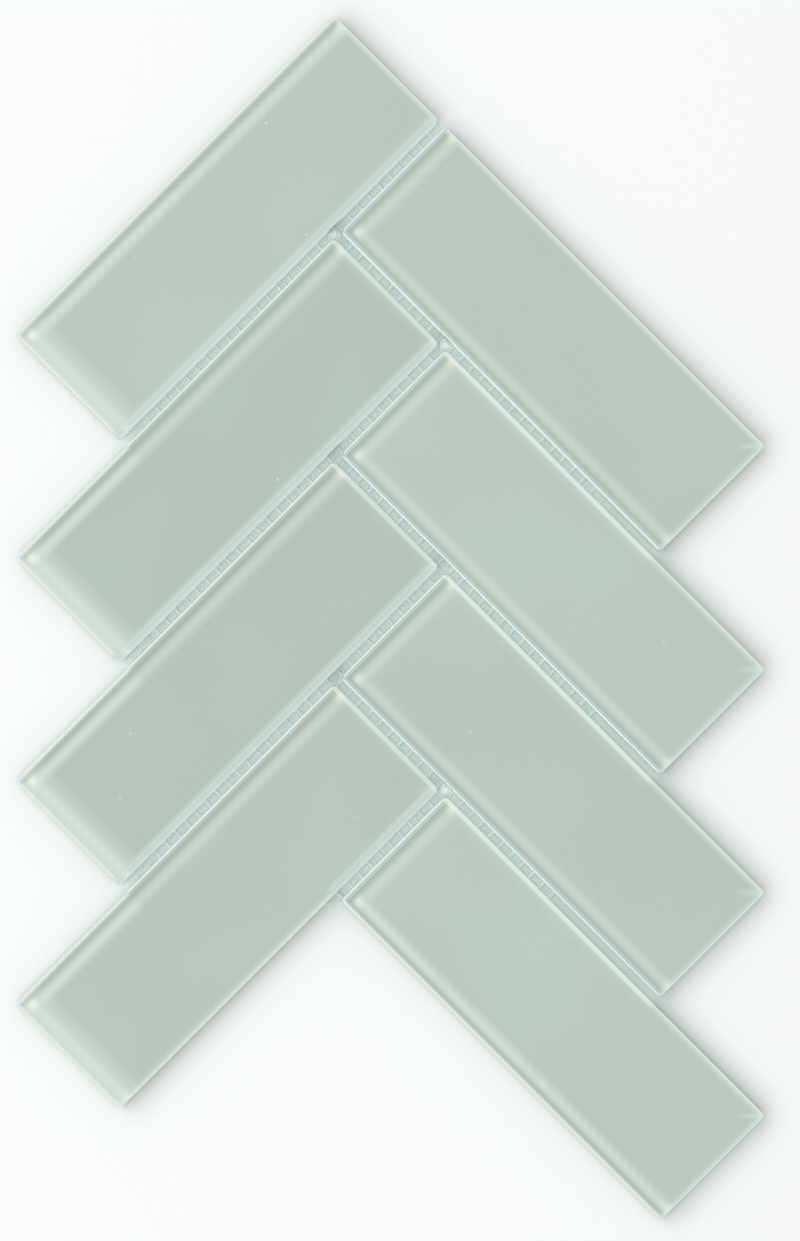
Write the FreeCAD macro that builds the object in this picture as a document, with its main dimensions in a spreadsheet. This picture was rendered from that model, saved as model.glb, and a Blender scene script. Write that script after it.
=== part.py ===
"""Chevron wall tile: eight glass tiles laid in a herringbone on a cut piece of glass-fibre net.

The sheet lies flat with its glossy face up. +Z is up, +Y runs to the top of the sheet as it hangs
on a wall, and the origin is below the middle of the sheet, on the surface that it lies on.
"""
import FreeCAD
import Part
import Sketcher
import math
import os

PARTS = "parts"
ROWS = 4
ROOT_HALF = math.sqrt(0.5)

# Turns about +Z that bring +X to the two tile directions, and to the way back up the second one
DOWN_LEFT_ANGLE = -135
DOWN_RIGHT_ANGLE = -45
UP_LEFT_ANGLE = 135

# Two heights closer than this, in millimetres, are the same level
LEVEL = 0.01

# Driving sizes in millimetres, with what each one is
SIZES = [
    ("tile_width", 49.0, "short side of one glass tile"),
    ("tile_length", 149.0, "long side of one glass tile"),
    ("tile_thickness", 8.0, "thickness of the glass"),
    ("corner_radius", 1.3, "rounding of the four corners seen from the front"),
    ("face_edge_radius", 1.2, "fire-polished rounding round the front face"),
    ("back_edge_chamfer", 0.5, "small bevel round the back face"),
    ("joint_width", 3.0, "gap between neighbouring tiles, left open for grout"),
    ("net_margin", 5.0, "net's two sloping cuts, in from the outer edges of the top two tiles"),
    ("net_width", 149.0, "net, across the sheet"),
    ("net_left", 61.0, "net's left cut, out from the ridge where its two sloping cuts meet"),
    ("net_height", 286.0, "net, from its ridge to its bottom cut"),
    ("yarn_pitch", 4.73, "spacing of the yarns, from middle to middle"),
    ("yarn_width", 0.8, "width of one yarn, pressed flat"),
    ("yarn_thickness", 0.3, "thickness of one yarn"),
    ("dab_height", 1.8, "height of a dab of adhesive, from the front of the net"),
    ("dab_corner_radius", 1.0, "rounding of a dab's corners where it meets the tiles"),
    ("dab_dome_radius", 0.8, "rounding of a dab's top"),
]

# The tiles, by column and row, that have a dab of adhesive in the joint at their top corner
DAB_PLACES = [("left", 2), ("right", 2), ("right", 4)]

doc = FreeCAD.newDocument("chevron_wall_tile")


def make_sheet():
    """The spreadsheet that holds every driving size, one to a row."""
    sheet = doc.addObject("Spreadsheet::Sheet", "Sizes")
    for row, (alias, value, note) in enumerate(SIZES, start=1):
        sheet.set(f"A{row}", alias)
        sheet.set(f"B{row}", str(value))
        sheet.set(f"C{row}", note)
        sheet.setAlias(f"B{row}", alias)
    doc.recompute()
    return sheet


sheet = make_sheet()
STEP = "(Sizes.tile_width + Sizes.joint_width)"
TILE_BASE = "2 * Sizes.yarn_thickness"
NET_RIGHT = "(Sizes.net_width - Sizes.net_left)"

# The net's outline from its ridge, clockwise: two sloping cuts, two sides and a level bottom
NET_OUTLINE = [
    ("0 mm", "0 mm"),
    (NET_RIGHT, f"-{NET_RIGHT}"),
    (NET_RIGHT, "-Sizes.net_height"),
    ("-Sizes.net_left", "-Sizes.net_height"),
    ("-Sizes.net_left", "-Sizes.net_left"),
]


def new_body(label):
    body = doc.addObject("PartDesign::Body", label)
    body.Label = label
    return body


def new_sketch(body, name):
    """An empty sketch on the level plane of a body's own origin."""
    level_plane = next(item for item in body.Origin.OriginFeatures if item.Role == "XY_Plane")
    sketch = body.newObject("Sketcher::SketchObject", name)
    sketch.AttachmentSupport = [(level_plane, "")]
    sketch.MapMode = "FlatFace"
    return sketch


def new_pad(body, sketch, name, thickness):
    pad = body.newObject("PartDesign::Pad", name)
    pad.Profile = sketch
    pad.setExpression("Length", thickness)
    doc.recompute()
    return pad


def soften(body, kind, base, name, edges, size_name, size):
    """Round or bevel some edges of a body's last feature."""
    feature = body.newObject(kind, name)
    feature.Base = (base, edges)
    feature.setExpression(size_name, size)
    doc.recompute()
    return feature


def add_rectangle(sketch, width, height, prefix):
    """A rectangle centred on the sketch's origin, its two sizes bound to expressions."""
    first = sketch.GeometryCount
    corners = [(-2, -1), (2, -1), (2, 1), (-2, 1)]
    points = [FreeCAD.Vector(x, y, 0) for x, y in corners]
    for start, end in zip(points, points[1:] + points[:1]):
        sketch.addGeometry(Part.LineSegment(start, end), False)
    bottom, right, top, left = range(first, first + 4)
    for line, following in [(bottom, right), (right, top), (top, left), (left, bottom)]:
        sketch.addConstraint(Sketcher.Constraint("Coincident", line, 2, following, 1))
    for line in (bottom, top):
        sketch.addConstraint(Sketcher.Constraint("Horizontal", line))
    for line in (right, left):
        sketch.addConstraint(Sketcher.Constraint("Vertical", line))
    sketch.addConstraint(Sketcher.Constraint("Symmetric", bottom, 1, top, 1, -1, 1))
    for line, size, name in [(bottom, width, "width"), (right, height, "height")]:
        index = sketch.addConstraint(Sketcher.Constraint("Distance", line, 2.0))
        sketch.renameConstraint(index, prefix + name)
        sketch.setExpression(f"Constraints.{prefix}{name}", size)


def add_outline(sketch, corners, prefix):
    """A closed outline of straight lines, each corner's two coordinates bound to expressions."""
    first = sketch.GeometryCount
    count = len(corners)
    turns = [FreeCAD.Vector(math.cos(angle), math.sin(angle), 0)
             for angle in (2 * math.pi * number / count for number in range(count))]
    for start, end in zip(turns, turns[1:] + turns[:1]):
        sketch.addGeometry(Part.LineSegment(start, end), False)
    for number, (across, up) in enumerate(corners):
        line = first + number
        sketch.addConstraint(Sketcher.Constraint("Coincident", line, 1, first + (number - 1) % count, 2))
        for kind, size in [("DistanceX", across), ("DistanceY", up)]:
            index = sketch.addConstraint(Sketcher.Constraint(kind, -1, 1, line, 1, 1.0))
            name = f"{prefix}{kind}_{number}"
            sketch.renameConstraint(index, name)
            sketch.setExpression(f"Constraints.{name}", size)


def about_z(angle):
    return FreeCAD.Rotation(FreeCAD.Vector(0, 0, 1), angle)


def place(body, along_right, along_left, base, turn):
    """Set a body on the sheet, at a distance down each of the two tile directions.

    Both distances start at the top corner of the first right-hand tile. The last terms bring the
    middle of the whole sheet to the origin.
    """
    middle_x = f"{STEP} / 2"
    middle_y = f"({2 * ROWS - 3} * {STEP} + Sizes.tile_length + Sizes.tile_width) / 2"
    body.setExpression("Placement.Base.x", f"({along_right} - ({along_left}) + {middle_x}) * {ROOT_HALF}")
    body.setExpression("Placement.Base.y", f"({middle_y} - ({along_right}) - ({along_left})) * {ROOT_HALF}")
    body.setExpression("Placement.Base.z", base)
    body.Placement.Rotation = about_z(turn)


def edge_names(shape, wanted):
    """Names of a shape's edges that pass a test on the heights of their two ends."""
    names = []
    for number, edge in enumerate(shape.Edges, start=1):
        if wanted([vertex.Z for vertex in edge.Vertexes]):
            names.append(f"Edge{number}")
    return names


def upright_edges(shape):
    return edge_names(shape, lambda heights: max(heights) - min(heights) > LEVEL)


def level_edges(shape, height):
    return edge_names(shape, lambda heights: max(abs(each - height) for each in heights) < LEVEL)


def make_tile(label):
    """One glass tile: a plain slab with rounded corners, a soft front edge and a bevelled back."""
    body = new_body(label)
    outline = new_sketch(body, label + "_outline")
    add_rectangle(outline, "Sizes.tile_length", "Sizes.tile_width", "tile_")
    slab = new_pad(body, outline, label + "_slab", "Sizes.tile_thickness")
    corners = soften(body, "PartDesign::Fillet", slab, label + "_corners",
                     upright_edges(slab.Shape), "Radius", "Sizes.corner_radius")
    front = soften(body, "PartDesign::Fillet", corners, label + "_front_edge",
                   level_edges(corners.Shape, sheet.tile_thickness), "Radius", "Sizes.face_edge_radius")
    soften(body, "PartDesign::Chamfer", front, label + "_back_edge",
           level_edges(front.Shape, 0), "Size", "Sizes.back_edge_chamfer")
    return body


def make_tiles():
    """Four tiles running down to the left and four running down to the right."""
    tiles = []
    for row in range(1, ROWS + 1):
        left = make_tile(f"glass_tile_left_{row}")
        across = f"{row - 2} * {STEP} + Sizes.tile_width / 2"
        down = f"{row - 1} * {STEP} + Sizes.tile_length / 2"
        place(left, across, down, TILE_BASE, DOWN_LEFT_ANGLE)
        right = make_tile(f"glass_tile_right_{row}")
        across = f"{row - 1} * {STEP} + Sizes.tile_length / 2"
        down = f"{row - 1} * {STEP} + Sizes.tile_width / 2"
        place(right, across, down, TILE_BASE, DOWN_RIGHT_ANGLE)
        tiles += [left, right]
    return tiles


def make_yarns(label, turn, base, far_corner):
    """One layer of the net: straight flat yarns side by side, trimmed to the net's outline.

    The net is cut on the bias, so that its yarns lie along the tiles while its sides follow the
    sheet. Its two top cuts run along the outer edges of the top tiles, and the first yarn of each
    layer lies along one of them. The layer is laid out too long, with its origin at the net's ridge,
    and a frame with a hole of the net's outline takes off what is outside.
    """
    body = new_body(label)
    body.AllowCompound = True
    overlong = "2 * (Sizes.net_width + Sizes.net_height)"
    strip = new_sketch(body, label + "_strip")
    add_rectangle(strip, overlong, "Sizes.yarn_width", "yarn_")
    strip.setExpression("AttachmentOffset.Base.y", "Sizes.yarn_width / 2")
    yarn = new_pad(body, strip, label + "_yarn", "Sizes.yarn_thickness")

    layer = body.newObject("PartDesign::LinearPattern", label + "_layer")
    layer.Originals = [yarn]
    layer.Direction = (strip, ["V_Axis"])
    layer.Mode = "Spacing"
    layer.setExpression("Offset", "Sizes.yarn_pitch")
    layer.setExpression("Occurrences", f"floor({far_corner} * {ROOT_HALF} / Sizes.yarn_pitch + 0.5)")
    body.Tip = layer
    doc.recompute()

    frame = new_sketch(body, label + "_frame")
    add_rectangle(frame, f"2 * {overlong}", f"2 * {overlong}", "waste_")
    add_outline(frame, NET_OUTLINE, "net_")
    frame.AttachmentOffset = FreeCAD.Placement(FreeCAD.Vector(), about_z(-turn))
    trimmed = body.newObject("PartDesign::Pocket", label + "_trimmed")
    trimmed.Profile = frame
    trimmed.Reversed = True
    trimmed.setExpression("Length", "Sizes.yarn_thickness")
    doc.recompute()
    if trimmed.Shape.Volume >= layer.Shape.Volume:
        raise RuntimeError(label + " was not trimmed to the net's outline")

    place(body, f"Sizes.net_margin - {STEP}", "Sizes.net_margin", base, turn)
    return body


def make_dab(label, column, row):
    """A dab of adhesive in the joint at the top corner of one tile.

    It stands on the net and presses flat against the sides of the tiles round it, with a rounded
    top well below their faces.
    """
    body = new_body(label)
    outline = new_sketch(body, label + "_outline")
    add_rectangle(outline, "Sizes.joint_width", "Sizes.joint_width", "dab_")
    block = new_pad(body, outline, label + "_block", "Sizes.dab_height")
    corners = soften(body, "PartDesign::Fillet", block, label + "_corners",
                     upright_edges(block.Shape), "Radius", "Sizes.dab_corner_radius")
    soften(body, "PartDesign::Fillet", corners, label + "_dome",
           level_edges(corners.Shape, sheet.dab_height), "Radius", "Sizes.dab_dome_radius")

    half_joint = "Sizes.joint_width / 2"
    steps_right = row - 2 if column == "left" else row - 1
    across = f"{steps_right} * {STEP} - {half_joint}"
    down = f"{row - 1} * {STEP} - {half_joint}"
    place(body, across, down, TILE_BASE, DOWN_RIGHT_ANGLE)
    return body


parts = make_tiles()
left_corner = "(Sizes.net_left + Sizes.net_height)"
right_corner = f"({NET_RIGHT} + Sizes.net_height)"
parts.append(make_yarns("mesh_weft_yarns", UP_LEFT_ANGLE, "0 mm", left_corner))
parts.append(make_yarns("mesh_warp_yarns", DOWN_LEFT_ANGLE, "Sizes.yarn_thickness", right_corner))
for number, (column, row) in enumerate(DAB_PLACES, start=1):
    parts.append(make_dab(f"adhesive_dab_{number}", column, row))
doc.recompute()

for item in doc.Objects:
    if "Invalid" in item.State or "Error" in item.State:
        raise RuntimeError(f"{item.Label} failed: {item.State}")
for part in parts:
    if part.Shape.isNull() or not part.Shape.isValid():
        raise RuntimeError(part.Label + " has no valid shape")

os.makedirs(PARTS, exist_ok=True)
for part in parts:
    part.Shape.exportStep(f"{PARTS}/{part.Label}.step")
    box = part.Shape.BoundBox
    print(
        f"{part.Label}: {len(part.Shape.Solids)} solid(s), {part.Shape.Volume:.1f} mm3, "
        f"x {box.XMin:.2f} to {box.XMax:.2f}, y {box.YMin:.2f} to {box.YMax:.2f}, "
        f"z {box.ZMin:.2f} to {box.ZMax:.2f}"
    )
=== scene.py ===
# %% [markdown]
# A chevron wall tile, as a lesson in painting clear glass over colour
#
# The object is a sheet of eight glossy glass tiles, laid in a herringbone and held from behind by
# a cut piece of glass-fibre net. Each tile is clear glass with a sage-green coat fired on its back,
# so what is seen is colour under 8 mm of glass, with light caught along the edges. The solids come
# from the CAD frame, and sizes are measured on them or named below. Shapes are built in metres, so
# their sizes are multiples of MM. The bands of paint are in plain millimetres.

# %% Load the frame
import math

import bmesh
import bpy
import numpy as np
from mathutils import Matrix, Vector, noise


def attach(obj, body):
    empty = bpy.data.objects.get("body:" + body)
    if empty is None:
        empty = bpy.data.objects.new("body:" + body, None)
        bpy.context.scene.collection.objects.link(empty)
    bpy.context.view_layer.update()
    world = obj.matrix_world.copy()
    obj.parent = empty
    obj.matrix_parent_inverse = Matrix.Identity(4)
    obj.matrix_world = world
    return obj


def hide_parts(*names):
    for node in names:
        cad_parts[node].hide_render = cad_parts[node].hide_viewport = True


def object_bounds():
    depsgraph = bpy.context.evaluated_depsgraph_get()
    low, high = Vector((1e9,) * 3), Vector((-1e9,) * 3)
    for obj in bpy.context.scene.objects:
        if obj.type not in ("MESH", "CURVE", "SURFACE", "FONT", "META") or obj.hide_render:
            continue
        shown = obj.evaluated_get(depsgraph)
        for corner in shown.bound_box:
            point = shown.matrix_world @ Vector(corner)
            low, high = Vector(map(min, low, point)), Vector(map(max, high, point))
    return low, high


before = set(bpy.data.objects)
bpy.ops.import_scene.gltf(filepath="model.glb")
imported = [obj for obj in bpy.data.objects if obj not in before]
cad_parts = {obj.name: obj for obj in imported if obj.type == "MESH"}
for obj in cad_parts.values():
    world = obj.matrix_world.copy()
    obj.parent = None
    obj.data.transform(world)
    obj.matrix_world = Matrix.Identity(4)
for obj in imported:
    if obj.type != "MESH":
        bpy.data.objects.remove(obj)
cad_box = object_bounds()
MM = 0.001
print("CAD box in mm:", [[round(value / MM, 2) for value in corner] for corner in cad_box])

# %% [markdown]
# The tiles run in two directions, both at 45 degrees to the sheet: down to the right, and down to
# the left. A length along either one is a dot product, so a small helper can read the extent of any
# CAD piece along a direction, and no size has to be typed in twice.

# %% Directions and measured sizes
DOWN_RIGHT = Vector((1, -1, 0)).normalized()
DOWN_LEFT = Vector((-1, -1, 0)).normalized()
UP = Vector((0, 0, 1))


def corners_of(node):
    """Every vertex of a CAD node, as an array in the sheet's frame."""
    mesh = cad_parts[node].data
    points = np.empty(len(mesh.vertices) * 3)
    mesh.vertices.foreach_get("co", points)
    return points.reshape(-1, 3)


def extent(node, direction):
    """Lowest and highest reach of a node along a direction."""
    reach = corners_of(node) @ np.array(direction)
    return reach.min(), reach.max()


TILES = {}
for row in (1, 2, 3, 4):
    TILES[f"glass_tile_left_{row}"] = (DOWN_LEFT, DOWN_RIGHT)
    TILES[f"glass_tile_right_{row}"] = (DOWN_RIGHT, DOWN_LEFT)

for node, (along, across) in TILES.items():
    length = np.diff(extent(node, along))[0] / MM
    width = np.diff(extent(node, across))[0] / MM
    print(f"{node}: {length:.1f} x {width:.1f} mm")

# %% [markdown]
# Glass looks different where it borders another tile and where it borders the open air, because the
# light that leaves through its side either falls on the neighbour or goes free. So each side of each
# tile is asked, a millimetre at a time, whether another tile stands across the joint from it.

# %% Sides that face a joint
NORTH_WEST = Vector((-1, 1, 0)).normalized()
NORTH_EAST = Vector((1, 1, 0)).normalized()
SIDES = {
    "nw": (NORTH_WEST, NORTH_EAST),
    "ne": (NORTH_EAST, NORTH_WEST),
    "sw": (-NORTH_EAST, NORTH_WEST),
    "se": (-NORTH_WEST, NORTH_EAST),
}
JOINT_REACH = 4.0 * MM
SPOT_STEP = 1.0 * MM
NEAR_CORNER = 5.0 * MM
PAST_CORNER = 10.0 * MM
TILE_REACH = {
    (node, each): extent(node, direction)
    for node, directions in TILES.items() for each, direction in enumerate(directions)
}


def over_a_neighbour(node, point):
    """Whether a point of the sheet, seen from above, lies over some other tile."""
    for other, directions in TILES.items():
        inside = []
        for each, direction in enumerate(directions):
            low, high = TILE_REACH[other, each]
            inside.append(low < point.dot(direction) < high)
        if other != node and all(inside):
            return True
    return False


def joint_span(node, toward):
    """The stretch of one side that faces another tile, measured along the side, or None. A stretch
    that ends near a corner is carried past it, so that the corner counts as faced too."""
    outward, run = SIDES[toward]
    across_joint = outward * (extent(node, outward)[1] + JOINT_REACH)
    start, end = extent(node, run)
    spots = np.arange(start + SPOT_STEP, end, SPOT_STEP)
    faced = [spot for spot in spots if over_a_neighbour(node, across_joint + run * spot)]
    if not faced:
        return None
    low, high = min(faced), max(faced)
    if low < start + NEAR_CORNER:
        low = start - PAST_CORNER
    if high > end - NEAR_CORNER:
        high = end + PAST_CORNER
    return low, high


for node in TILES:
    print(node, "is open on the sides", [side for side in SIDES if joint_span(node, side) is None])

# %% [markdown]
# Shader maths reads best as maths. This small class wraps a node's output, so that `mask * 0.5`
# adds a Math node, and `1 - mask` works too.

# %% Shader values as Python values
class Value:
    """A number, colour or place in a material's node tree. Arithmetic on a number adds Math nodes."""

    def __init__(self, paint, socket):
        self.paint = paint
        self.socket = socket

    def maths(self, operation, first, second):
        return self.paint.add("ShaderNodeMath", {"operation": operation}, [first, second])

    def __add__(self, other):
        return self.maths("ADD", self, other)

    def __sub__(self, other):
        return self.maths("SUBTRACT", self, other)

    def __rsub__(self, other):
        return self.maths("SUBTRACT", other, self)

    def __mul__(self, other):
        return self.maths("MULTIPLY", self, other)

    def least(self, other):
        return self.maths("MINIMUM", self, other)

    def most(self, other):
        return self.maths("MAXIMUM", self, other)

    def unsigned(self):
        return self.maths("ABSOLUTE", self, 0.0)

    __radd__ = __add__
    __rmul__ = __mul__


print("A value can also give:", [name for name in vars(Value) if not name.startswith("_")])

# %% [markdown]
# A material needs more than arithmetic: places, noise, soft steps, mixes of colours. Any node comes
# from `Paint.add`, which takes the node's type, its settings, and the values or links of its
# sockets. The other methods are named for what a painter of glass asks for most.

# %% One material's node tree
# Where a Mix node keeps its colour sockets, since those for numbers and places have the same names
MIX_FACTOR, MIX_FIRST, MIX_SECOND, MIX_RESULT = 0, 6, 7, 2


class Paint:
    """One material's node tree, with its Principled shader ready to be fed."""

    def __init__(self, name, **constants):
        self.material = bpy.data.materials.new(name)
        self.material.use_nodes = True
        self.tree = self.material.node_tree
        self.shader = self.tree.nodes["Principled BSDF"]
        for socket, value in constants.items():
            self.shader.inputs[socket.replace("_", " ")].default_value = value

    def add(self, kind, settings=None, inputs=None, output=0):
        node = self.tree.nodes.new(kind)
        for key, value in (settings or {}).items():
            setattr(node, key, value)
        pairs = inputs.items() if isinstance(inputs, dict) else enumerate(inputs or [])
        for socket, value in pairs:
            self.feed(node.inputs[socket], value)
        return Value(self, node.outputs[output])

    def feed(self, socket, value):
        if isinstance(value, Value):
            self.tree.links.new(value.socket, socket)
        else:
            socket.default_value = value

    def set(self, socket, value):
        """Feed a socket of the shader."""
        self.feed(self.shader.inputs[socket], value)

    def place(self):
        """Where a point of the surface is, in the sheet's own frame."""
        return self.add("ShaderNodeTexCoord", output="Object")

    def along(self, place, direction):
        """How far a point lies along a direction."""
        return self.add("ShaderNodeVectorMath", {"operation": "DOT_PRODUCT"}, [place, direction], output=1)

    def height(self, place):
        """How high a point lies, in millimetres."""
        return self.add("ShaderNodeSeparateXYZ", None, [place], output=2) * (1 / MM)

    def cloud(self, place, scale, detail=2.0):
        """Soft noise from 0 to 1. The scale is in spots per metre."""
        return self.add("ShaderNodeTexNoise", None, {"Vector": place, "Scale": scale, "Detail": detail})

    def ramp(self, value, low, high):
        """Where the value goes from low to high, 0 to 1, held at both ends."""
        return self.add("ShaderNodeMapRange", {"clamp": True}, [value, low, high, 0.0, 1.0])

    def smooth(self, value, low, high):
        """Like ramp, but easing in and out."""
        settings = {"interpolation_type": "SMOOTHSTEP"}
        return self.add("ShaderNodeMapRange", settings, [value, low, high, 0.0, 1.0])

    def fade(self, value, low, high):
        """The other way round: 1 up to low, easing to 0 at high."""
        return 1 - self.smooth(value, low, high)

    def swell(self, value, start, peak, end):
        """A band: 0 up to the start, 1 at the peak, 0 again from the end."""
        return self.smooth(value, start, peak) * self.fade(value, peak, end)

    def blend(self, mask, first, second):
        """Two colours, mixed by a mask."""
        inputs = {MIX_FACTOR: mask, MIX_FIRST: first, MIX_SECOND: second}
        return self.add("ShaderNodeMix", {"data_type": "RGBA"}, inputs, output=MIX_RESULT)

    def bump(self, height, distance, strength):
        inputs = {"Strength": strength, "Distance": distance, "Height": height}
        self.set("Normal", self.add("ShaderNodeBump", None, inputs))


print("A paint can give:", [name for name in vars(Paint) if not name.startswith("_")])

# %% [markdown]
# Colours are written as they are read off a screen, 0 to 255. A shader works in linear light, so
# they pass through the sRGB curve once.

# %% Colours
def colour(red, green, blue):
    """A colour as it is read off a screen, made linear."""
    parts = []
    for part in (red, green, blue):
        share = part / 255
        parts.append(share / 12.92 if share < 0.04045 else ((share + 0.055) / 1.055) ** 2.4)
    return (*parts, 1.0)


print("Middle grey in linear light:", round(colour(128, 128, 128)[0], 3))

# %% [markdown]
# A real tile is clear glass with a sage-green enamel fired on its back. The glass moves light about:
# it gathers the light that comes in at a rounded edge into a soft warm band a few millimetres in,
# leaves a darker line outside that band, and lets the light out again along the far edges, which
# look milky. Tracing rays through eight slabs would show all that, but it is slow and noisy. It all
# follows the edges, so here each tile is one polished body, with its bands painted by their distance
# from each edge. The light is the photograph's, which comes from the left.
#
# First comes the enamel. Each tile has its own shade of sage. Over it lie a slow drift between
# greyer and greener, a very fine grain, and a few pale pinholes. A scale counts the spots of a noise
# in one metre, and a span is where a mask starts and where it is full.

# %% The enamel
SAGE = {
    "glass_tile_left_1": colour(188, 199, 190),
    "glass_tile_left_2": colour(184, 196, 186),
    "glass_tile_left_3": colour(183, 194, 186),
    "glass_tile_left_4": colour(186, 197, 188),
    "glass_tile_right_1": colour(188, 199, 190),
    "glass_tile_right_2": colour(190, 202, 193),
    "glass_tile_right_3": colour(188, 199, 191),
    "glass_tile_right_4": colour(190, 202, 192),
}
GREYER = (0.975, 0.955, 0.965)
DRIFT_SCALE = 16.0
DRIFT_SPAN = (0.35, 0.65)
GRAIN_SCALE = 2600.0
GRAIN_SPAN = (0.3, 0.7)
GRAIN_STRENGTH = 0.09
GRAIN_DARK = (0.2, 0.22, 0.2, 1.0)
PINHOLE_SCALE = 62.0
PINHOLE_EDGE = (0.02, 0.035)
PINHOLE_STRENGTH = 0.35
PINHOLE_PALE = (0.9, 0.92, 0.9, 1.0)


def paint_sage(paint, place, sage):
    """The enamel's colour in the middle of a tile."""
    greyer = (*[part * share for part, share in zip(sage, GREYER)], 1.0)
    drift = paint.ramp(paint.cloud(place, DRIFT_SCALE), *DRIFT_SPAN)
    base = paint.blend(drift, sage, greyer)
    grain = paint.ramp(paint.cloud(place, GRAIN_SCALE), *GRAIN_SPAN)
    base = paint.blend(grain * GRAIN_STRENGTH, base, GRAIN_DARK)
    spots = paint.add("ShaderNodeTexVoronoi", None, {"Vector": place, "Scale": PINHOLE_SCALE})
    pinholes = 1 - paint.ramp(spots, *PINHOLE_EDGE)
    return paint.blend(pinholes * PINHOLE_STRENGTH, base, PINHOLE_PALE)


print("Shades of sage:", len(set(SAGE.values())), "on", len(SAGE), "tiles")

# %% [markdown]
# The bands of light need to know two things about a point: how far in it lies from each of the four
# edges, and whether the edge beside it faces a joint or the open air.

# %% Distances from the edges, and open sides
OPEN_SOFTNESS = 1.5 * MM


def edge_distances(paint, place, node):
    """How far in from each of a tile's four edges a point is, in millimetres."""
    edges = {}
    for toward, start, end in (("nw", NORTH_WEST, "se"), ("ne", NORTH_EAST, "sw")):
        low, high = extent(node, start)
        reach = paint.along(place, start)
        edges[toward] = (high - reach) * (1 / MM)
        edges[end] = (reach - low) * (1 / MM)
    return edges


def open_side(paint, place, node, toward):
    """1 along the part of a side that borders the open air, 0 where it faces a joint."""
    span = joint_span(node, toward)
    if span is None:
        return 1.0
    low, high = span
    reach = paint.along(place, SIDES[toward][1])
    faced = paint.smooth(reach, low - OPEN_SOFTNESS, low + OPEN_SOFTNESS)
    return 1 - faced * paint.fade(reach, high - OPEN_SOFTNESS, high + OPEN_SOFTNESS)


def by_side(is_open, in_joint, in_open):
    """A strength that is one thing along a joint and another in the open."""
    return is_open * (in_open - in_joint) + in_joint


print("An open side fades in over", 2 * OPEN_SOFTNESS / MM, "mm")

# %% [markdown]
# The light comes in at the two left edges, and here its bands are painted. Along a joint the
# outermost glass is a bright line, a painted highlight, then a cool rim, a painted reflection of the
# neighbour. Further in lie a painted shade and the painted warm glow, which is strongest in the
# corner where both left edges feed it. In the open the rim is painted pale, for the light of the
# pale floor seen through the clear edge.
#
# A band is three numbers, in millimetres in from the edge: where it starts, where it is strongest
# and where it ends. A fade is two: where it starts to fall and where it is gone. A pair of strengths
# is the one along a joint and the one in the open.

# %% Light along the two left edges
# Painted light and shade: the haze, the glow and its spot stand for light that the glass gathers, and SHADE
# for its lack
LIGHT_HAZE = colour(214, 220, 212)
GLOW = colour(213, 220, 212)
GLOW_SPOT = colour(234, 238, 226)
SHADE = colour(160, 172, 161)
# Painted reflection and highlight: the cool band and rim stand for the neighbour seen in the glass, the
# bright line for the lamp on the rounded edge, and the open rim for pale light through the clear edge
COOL_REFLECTION_BAND = colour(189, 204, 200)
COOL_REFLECTION_RIM = colour(165, 181, 179)
HIGHLIGHT_LINE = colour(248, 255, 255)
OPEN_RIM_LIGHT = colour(217, 224, 220)

LIGHT_HAZE_FADE = (1.0, 14.0)
GLOW_BANDS = {"nw": (2.3, 5.1, 8.4), "sw": (1.9, 4.3, 7.6)}
GLOW_STRENGTHS = (0.5, 0.8)
GLOW_START = (1.0, 4.3)
SPOT_BANDS = {"nw": (1.6, 4.2, 7.4), "sw": (1.6, 4.0, 7.2)}
SHADE_BANDS = {"nw": (1.0, 1.85, 3.9), "sw": (1.0, 1.7, 2.9)}
SHADE_STRENGTHS_NW = (0.62, 0.4)
BLADE_FADE = (0.0, 3.5)
BLADE_NARROWING = 1.3
COOL_REFLECTION_BAND_FADE = (1.0, 1.6)
COOL_REFLECTION_RIM_FADE = (0.5, 0.9)
HIGHLIGHT_LINE_FADE = (0.3, 0.5)
OPEN_RIM_LIGHT_FADE = (0.7, 1.8)


def paint_glow(paint, base, edges, is_open, look):
    """The painted light that the glass gathers inside its two left edges, its painted haze along the
    lower left ends, and the painted shade outside it.
    """
    # Painted haze of light along the lower left ends
    base = paint.blend(paint.fade(edges["sw"], *LIGHT_HAZE_FADE) * look["light_haze_sw"], base, LIGHT_HAZE)
    glow = {
        toward: paint.swell(edges[toward], *band) * by_side(is_open[toward], *GLOW_STRENGTHS)
        for toward, band in GLOW_BANDS.items()
    }
    inside = paint.smooth(edges["nw"].least(edges["sw"]), *GLOW_START)
    base = paint.blend(glow["nw"].most(glow["sw"]) * inside, base, GLOW)
    spot = paint.swell(edges["nw"], *SPOT_BANDS["nw"]) * paint.swell(edges["sw"], *SPOT_BANDS["sw"])
    base = paint.blend(spot * look["spot_west"], base, GLOW_SPOT)
    shade_nw = paint.swell(edges["nw"], *SHADE_BANDS["nw"]) * by_side(is_open["nw"], *SHADE_STRENGTHS_NW)
    base = paint.blend(shade_nw, base, SHADE)
    return paint.blend(paint.swell(edges["sw"], *SHADE_BANDS["sw"]) * look["shade_sw"], base, SHADE)


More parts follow.
